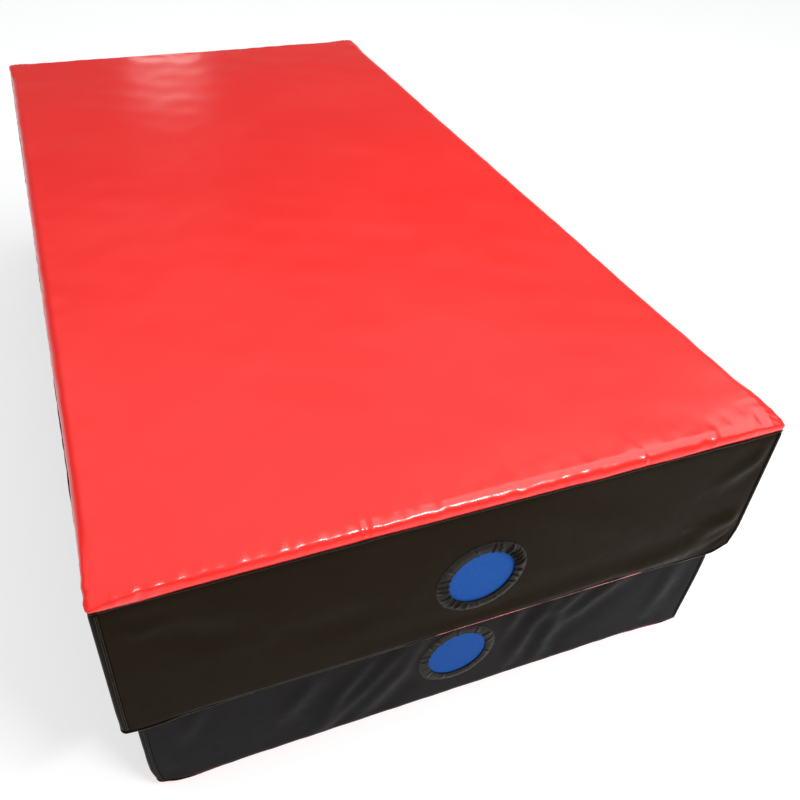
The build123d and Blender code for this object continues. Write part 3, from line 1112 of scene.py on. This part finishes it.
# Vent rings: gathers as (clock angle in degrees from +X towards +Z, width in mm, height in mm)
RING_GATHERS = {
    "upper": [
        (-4, 2.2, 1.6), (8, 2.4, 2.2), (19, 2.0, 1.9), (30, 2.4, 2.4), (40, 2.0, 1.8), (51, 2.6, 2.3),
        (66, 2.2, 1.9), (79, 2.0, 1.6), (104, 2.6, 1.2), (150, 3.0, 0.9), (166, 2.4, 1.2), (180, 2.4, 1.5),
        (193, 2.2, 1.4), (206, 2.6, 1.6), (222, 3.6, 2.3), (238, 3.2, 2.0), (252, 3.0, 1.5), (268, 2.6, 1.0),
        (300, 3.0, 0.8), (330, 2.6, 0.9), (345, 2.4, 1.2),
    ],
    "lower": [
        (12, 3.0, 0.9), (34, 3.4, 1.1), (58, 3.0, 0.9), (96, 3.2, 0.7), (128, 3.0, 1.1), (146, 2.8, 1.2),
        (163, 2.6, 1.0), (178, 2.2, 0.8), (214, 3.0, 0.6), (250, 3.0, 0.5), (300, 3.4, 0.6), (344, 3.0, 0.7),
    ],
}
RING_RIDGE = {"upper": 0.0042, "lower": 0.0022}
SIGHT_RADIUS = {"upper": 0.0540, "lower": 0.0558}


def ring_height(mat, radius, angle):
    """How far the gathered ring stands out from the wall."""
    sight = SIGHT_RADIUS[mat.name]
    share = np.clip((radius - sight) / (mat.vent_radius - sight), 0, 1)
    ridge = RING_RIDGE[mat.name]
    seed = {"upper": 81, "lower": 82}[mat.name]
    crown = ridge * (0.30 + 0.70 * np.sin(math.pi * 0.75 * share)) * (1 - share**3)
    crown = crown * (0.35 + 0.65 * np.cos((angle + math.radians(40)) / 2) ** 2)
    height = crown * (1 + 0.12 * ripple(np.cos(angle), np.sin(angle), 0.9, seed))
    for place, width, tall in RING_GATHERS[mat.name]:
        place = math.radians(place)
        lean = 0.10 * math.sin(place * 7.0)
        away = (angle - place - lean * share + math.pi) % (2 * math.pi) - math.pi
        across = away * radius
        fade = np.clip(1.15 - share**2.5, 0, 1) * (1 - share**9)
        width = width / 1000 * (0.75 + 0.6 * share)
        ridge = bump(across, width) - 0.35 * bump(across - 1.8 * width, width)
        height = height + 1.3 * tall / 1000 * fade * ridge
    return height + 0.0003 + 0.0004 * (1 - share)


def on_vent(mat, radius, angle, out):
    """Points round the vent, given a distance out from the end wall."""
    x = mat.vent[0] + radius * np.cos(angle)
    z = mat.vent[2] + radius * np.sin(angle)
    return points_at(x, -mat.half_length - out, z)


def add_vent(mat):
    """The gathered ring, its stitches, and the mesh disc behind it."""
    sight, edge = SIGHT_RADIUS[mat.name], mat.vent_radius
    turns = around(540)
    radii = np.concatenate([[sight], np.linspace(sight + 0.0006, edge - 0.0004, 15)])
    rows = [on_vent(mat, radius, turns, ring_height(mat, radius, turns)) for radius in radii]
    under = ((edge, 0.0002), (edge - 0.001, -0.0004), (sight + 0.004, -0.0004), (sight + 0.0004, -0.0002))
    rows += [on_vent(mat, radius, turns, out) for radius, out in under]
    faces = grid_faces(len(rows), len(turns), wrap_rows=True, wrap_columns=True)
    ring = add_piece(mat, "vent_ring", np.stack(rows), faces, "black_binding", "black_binding")
    flat, under = (2 * edge, 2 * edge), [f"{mat.name}_front_panel"]
    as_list(under)

    stitches = Stitches()
    for radius in (edge - 0.0022, sight + 0.0022):
        angle = around(round(2 * math.pi * radius / 0.0042))
        centres = on_vent(mat, radius, angle, ring_height(mat, radius, angle) + 0.0002)
        stitches.row(centres, points_at(-np.sin(angle), 0.0, np.cos(angle)), TO_FRONT)
    join = np.arange(sight + 0.004, edge - 0.004, 0.0040)
    for angle in np.radians([196, 200] if mat.name == "lower" else [262, 266]):
        centres = on_vent(mat, join, angle, ring_height(mat, join, angle) + 0.0002)
        stitches.row(centres, (math.cos(angle), 0.0, math.sin(angle)), TO_FRONT)
    stitches.add_to(mat, "vent_ring")

    radii = np.concatenate([[0.00005, 0.0004], spaced(0.0025, DISC_RADIUS, 0.0025)])[:, None]
    turns = around(128)
    dome = 0.0012 * (1 - (radii / DISC_RADIUS) ** 2)
    front, back = (on_vent(mat, radii, turns, dome - depth) for depth in (0.0008, 0.0018))
    faces = grid_faces(2 * len(radii), len(turns), wrap_rows=True, wrap_columns=True)
    disc = add_piece(mat, "vent_mesh", np.concatenate([front, back[::-1]]), faces, "blue_mesh", "blue_mesh")


def add_foam(mat):
    """The foam block inside, a little smaller than its cover."""
    lattice = [edged(mat.low[axis], mat.high[axis], 0.02, BOTTOM_EDGE_RADIUS, 4) for axis in range(3)]
    sharp, faces = box_skin(lattice, SIDES)
    points = mat.rounded(sharp, -0.006)
    uneven = 0.0008 * ripple(points[:, 0] + points[:, 2], points[:, 1] - points[:, 2], 0.09, 91)
    points += uneven[:, None] * mat.outward(points)
    piece = add_piece(mat, "foam_core", points, faces, "foam", "foam", "block")


def add_zip(mat):
    """Tapes, teeth, stops and end tabs. The slider and its pull are the CAD's own."""
    plane = mat.half_length - COVER_THICKNESS / 2
    reach = mat.corner_seam_x + 0.001
    for half, word in ((-1, "low"), (1, "high")):
        z_span = sorted((ZIP_MIDDLE + half * 0.00005, ZIP_MIDDLE + half * 0.0205))
        y_span = (plane - 0.0012, plane - 0.0006)
        points, faces = box_skin((spaced(-reach, reach, 0.006), y_span, spaced(*z_span, 0.003)), SIDES)
        points[:, 1] += 0.0002 * ripple(points[:, 0], points[:, 2], 0.03, 95)
        tape = add_piece(mat, f"zip_tape_{word}", points, faces, "zip_tape", "zip_tape", "weave")

        places = np.arange(-ZIP_HALF_LENGTH + 0.0015, ZIP_HALF_LENGTH - 0.0010, TOOTH_PITCH)
        places = places + (0.0 if half > 0 else TOOTH_PITCH / 2 - 0.0004)
        teeth = tooth_row(places, plane, half)
        add_piece(mat, f"zip_teeth_{word}", *teeth, "zip_teeth", "zip_teeth", "row")

    sharp, faces = box_skin((np.linspace(-1, 1, 5), np.linspace(-1, 1, 4), np.linspace(-1, 1, 5)), SIDES)
    block = sharp / np.linalg.norm(sharp, ord=5, axis=1, keepdims=True) * [0.0020, 0.0026, 0.0044]
    stops = [(block + [side * (ZIP_HALF_LENGTH + 0.0020), plane, ZIP_MIDDLE], faces) for side in (-1, 1)]
    add_piece(mat, "zip_stops", *merged(stops), "zip_teeth", "zip_teeth", "blocks")

    add_end_tabs(mat)
    stitches = Stitches()
    for height in (ZIP_GAP_LOW - 0.0035, ZIP_GAP_HIGH + 0.0035):
        row = np.arange(-0.5085, 0.5086, STITCH_STEP)
        stitches.row(points_at(row, mat.half_length + 0.0001, height), ALONG_X, TO_BACK)
    stitches.add_to(mat, "zip")

    for node in ("zip_slider", "zip_pull"):
        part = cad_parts[f"{mat.name}_{node}"]
        bevel = part.modifiers.new("Soft edges", "BEVEL")
        bevel.width = 0.0003
        bevel.segments = 2
        bevel.limit_method = "ANGLE"
        part.data.materials.clear()
        part.data.materials.append(MATERIALS["zip_metal"])


def tooth_row(places, plane, half):
    """A row of moulded zip teeth, each with a foot on the tape and a narrower head."""
    sharp, faces = box_skin((np.linspace(-1, 1, 3), np.linspace(-1, 1, 3), np.linspace(-1, 1, 5)), SIDES)
    x, y, z = sharp.T
    corner = np.maximum(np.linalg.norm(sharp[:, :2], ord=4, axis=1), 1.0)
    waist = 1 - 0.28 * np.exp(-(((z - 0.1) / 0.35) ** 2))
    upward = (z * 0.0018 + 0.0026) * half + ZIP_MIDDLE
    tooth = points_at(x / corner * waist * 0.00105, y / corner * 0.0015 + plane, upward)
    points = tooth + points_at(places, 0.0, 0.0)[:, None, :]
    return points.reshape(-1, 3), repeated(faces if half > 0 else faces[:, ::-1], len(places), len(tooth))


def add_end_tabs(mat):
    """Two tabs of cover cloth sewn over the zip's ends."""
    inner, outer, tall, inset = 0.458, 0.502, 0.026, 0.0035
    sharp, faces = box_skin((spaced(inner, outer, 0.002), (0.0, 1.0), spaced(-tall, tall, 0.002)), SIDES)
    x, face, z = sharp.T
    edge = np.minimum(np.minimum(x - inner, outer - x), tall - np.abs(z))
    lift = 0.0010 * np.clip(edge / 0.002, 0, 1) ** 0.5 + 0.0003
    puff = 0.0008 * np.exp(-(((x - 0.5 * (inner + outer)) / 0.016) ** 2) - (z / 0.018) ** 2)
    y = mat.half_length + np.where(face > 0.5, lift + puff, 0.0)
    xs = np.arange(inner + inset, outer - inset + 1e-6, STITCH_STEP)
    zs = np.arange(-tall + inset, tall - inset + 1e-6, STITCH_STEP) + ZIP_MIDDLE
    on_face = mat.half_length + 0.0014
    tabs, stitches = [], Stitches()
    for side in (-1, 1):
        tabs.append((points_at(side * x, y, ZIP_MIDDLE + z), faces if side > 0 else faces[:, ::-1]))
        for height in (-tall + inset, tall - inset):
            stitches.row(points_at(side * xs, on_face, ZIP_MIDDLE + height), ALONG_X, TO_BACK)
        for place in (inner + inset, outer - inset):
            stitches.row(points_at(side * place, on_face, zs), ALONG_Z, TO_BACK)
    piece = add_piece(mat, "zip_end_tabs", *merged(tabs), wall_look(mat), "black_vinyl")
    stitches.add_to(mat, "zip_end_tabs")


def add_mat(mat):
    add_walls(mat)
    add_top_sheet(mat)
    add_bottom_sheet(mat)
    add_welt(mat, "top_welt", lambda loop: mat.seam_height(loop) - mat.welt_height / 2)
    add_welt(mat, "bottom_welt", lambda loop: bottom_rise(mat, loop[:, 0], loop[:, 1]) + 0.0008)
    add_corner_seams(mat)
    add_vent(mat)
    add_foam(mat)
    add_zip(mat)


mats = [Mat("lower"), Mat("upper")]
for one_mat in mats:
    add_mat(one_mat)


# ---- Studio --------------------------------------------------------------------------------------


def add_floor():
    edge = spaced(-60.0, 60.0, 4.0)
    x, y = np.meshgrid(edge, edge)
    points = points_at(x, y, -0.0005).reshape(-1, 3)
    mesh = new_mesh("floor", points, grid_faces(len(edge), len(edge)))
    mesh.materials.append(MATERIALS["studio_floor"])
    in_scene("floor", mesh)


def add_area_light(name, place, target, size, power, colour):
    light = bpy.data.lights.new(name, "AREA")
    light.shape = "RECTANGLE"
    light.size, light.size_y = size
    light.energy = power
    light.color = colour
    lamp = in_scene(name, light)
    lamp.location = place
    lamp.rotation_euler = (Vector(place) - Vector(target)).to_track_quat("Z", "Y").to_euler()


# The camera's turns about X, Y and Z in degrees: 39 down and 22 to the right, with a little roll
CAMERA_TURNS = (50.627, -2.151, -20.718)


def add_camera(mat):
    """The photo's viewpoint: 0.7 m in front of the mat's front left top corner, and 0.8 m above it."""
    camera = bpy.data.cameras.new("camera")
    camera.sensor_width = 36.0
    camera.lens = 37.57
    camera.shift_x = 0.0375
    camera.clip_end = 60.0
    viewer = in_scene("camera", camera)
    corner = mat.place + [-mat.half_width, -mat.half_length, mat.height]
    viewer.location = corner + [0.0720, -0.6700, 0.8154]
    viewer.rotation_euler = np.radians(CAMERA_TURNS)
    bpy.context.scene.camera = viewer


add_floor()
add_area_light("key", (1.9, -0.75, 3.3), (0.1, -0.4, 0.5), (3.6, 2.6), 68.0, (1.0, 0.98, 0.95))
add_area_light("strip", (0.92, -2.7, 3.0), (0.1, -1.0, 0.55), (0.95, 0.22), 66.0, (1.0, 0.99, 0.97))
add_area_light("window", (0.42, 4.6, 1.68), (-0.1, 0.9, 0.6), (0.44, 0.14), 0.8, (1.0, 0.99, 0.97))
add_camera(mats[1])

# The studio's soft light: how strong it is at each height of the sky, from the horizon to overhead
SKY_STRENGTHS = ((0.0, 0.62), (0.10, 0.50), (0.24, 0.11), (0.43, 0.09), (0.72, 0.96), (1.0, 0.96))

# How bright the plain pale backdrop looks behind the mats
BACKDROP_STRENGTH = 0.93

world = bpy.data.worlds.new("studio")
world.use_nodes = True
sky = world.node_tree
background = sky.nodes["Background"]
background.inputs["Color"].default_value = (0.96, 0.98, 1.0, 1.0)
split = sky.nodes.new("ShaderNodeSeparateXYZ")
ramp = sky.nodes.new("ShaderNodeValToRGB")
for height, strength in SKY_STRENGTHS[1:-1]:
    ramp.color_ramp.elements.new(height)
for stop, (_, strength) in zip(ramp.color_ramp.elements, SKY_STRENGTHS):
    stop.color = (strength, strength, strength, 1.0)
seen = sky.nodes.new("ShaderNodeMix")
seen.inputs["B"].default_value = BACKDROP_STRENGTH
sky.links.new(sky.nodes.new("ShaderNodeTexCoord").outputs["Generated"], split.inputs["Vector"])
sky.links.new(split.outputs["Z"], ramp.inputs["Fac"])
sky.links.new(sky.nodes.new("ShaderNodeLightPath").outputs["Is Camera Ray"], seen.inputs["Factor"])
sky.links.new(ramp.outputs["Color"], seen.inputs["A"])
sky.links.new(seen.outputs["Result"], background.inputs["Strength"])
bpy.context.scene.world = world
bpy.context.scene.view_settings.view_transform = "Standard"

bpy.context.view_layer.update()
